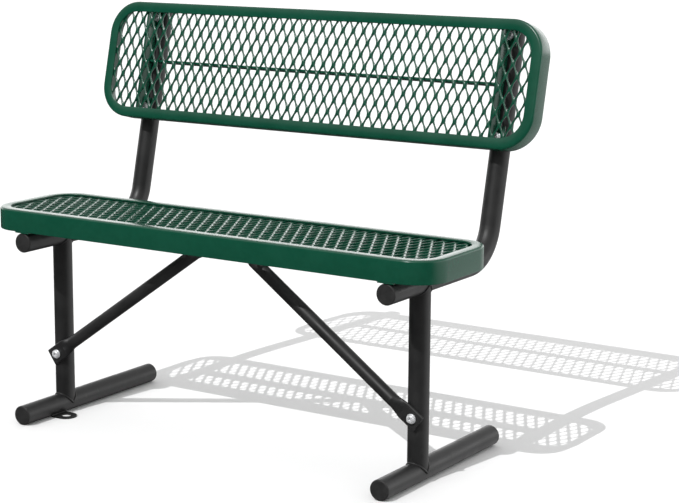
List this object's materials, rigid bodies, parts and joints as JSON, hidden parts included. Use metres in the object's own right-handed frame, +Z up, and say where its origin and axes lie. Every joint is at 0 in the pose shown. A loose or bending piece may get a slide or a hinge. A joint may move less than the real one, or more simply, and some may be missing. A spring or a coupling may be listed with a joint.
{
  "type": "bench with backrest",
  "caption": "Park bench on two bent-tube side frames with expanded-metal seat and back planks, diagonal braces and floor anchor tabs.",
  "frame": {"origin": "on the ground, in the middle of the bench's length and depth", "axes": "+X along the bench to the right as seen from the front, +Y from the front to the back, +Z up; the sitter faces -Y"},
  "size_m": [1.101, 0.5412, 0.8885],
  "materials": {
    "frame_coating": "satin charcoal powder coat over steel tube",
    "plank_coating": "thick glossy green thermoplastic coating over steel",
    "tube_caps": "satin charcoal moulded plug",
    "zinc_hardware": "bright zinc plate"
  },
  "bodies": {
    "root": {"back_bolts": "zinc_hardware", "back_inserts": "zinc_hardware", "back_left_rib": "plank_coating", "back_lugs": "plank_coating", "back_mesh": "plank_coating", "back_right_rib": "plank_coating", "back_rim": "plank_coating", "back_stiffener": "plank_coating", "back_washers": "zinc_hardware", "brace_lower_bolts": "zinc_hardware", "brace_lower_inserts": "zinc_hardware", "brace_lower_washers": "zinc_hardware", "brace_upper_bolts": "zinc_hardware", "brace_upper_nuts": "zinc_hardware", "brace_upper_washers": "zinc_hardware", "left_anchor_tab": "frame_coating", "left_brace": "frame_coating", "left_foot_front_cap": "tube_caps", "left_foot_rear_cap": "tube_caps", "left_foot_tube": "frame_coating", "left_post_cap": "tube_caps", "left_seat_back_tube": "frame_coating", "left_seat_tube_cap": "tube_caps", "left_upright": "frame_coating", "right_anchor_tab": "frame_coating", "right_brace": "frame_coating", "right_foot_front_cap": "tube_caps", "right_foot_rear_cap": "tube_caps", "right_foot_tube": "frame_coating", "right_post_cap": "tube_caps", "right_seat_back_tube": "frame_coating", "right_seat_tube_cap": "tube_caps", "right_upright": "frame_coating", "seat_bolts": "zinc_hardware", "seat_inserts": "zinc_hardware", "seat_left_rib": "plank_coating", "seat_lugs": "plank_coating", "seat_mesh": "plank_coating", "seat_right_rib": "plank_coating", "seat_rim": "plank_coating", "seat_stiffener": "plank_coating", "seat_washers": "zinc_hardware"}
  },
  "joints": []
}
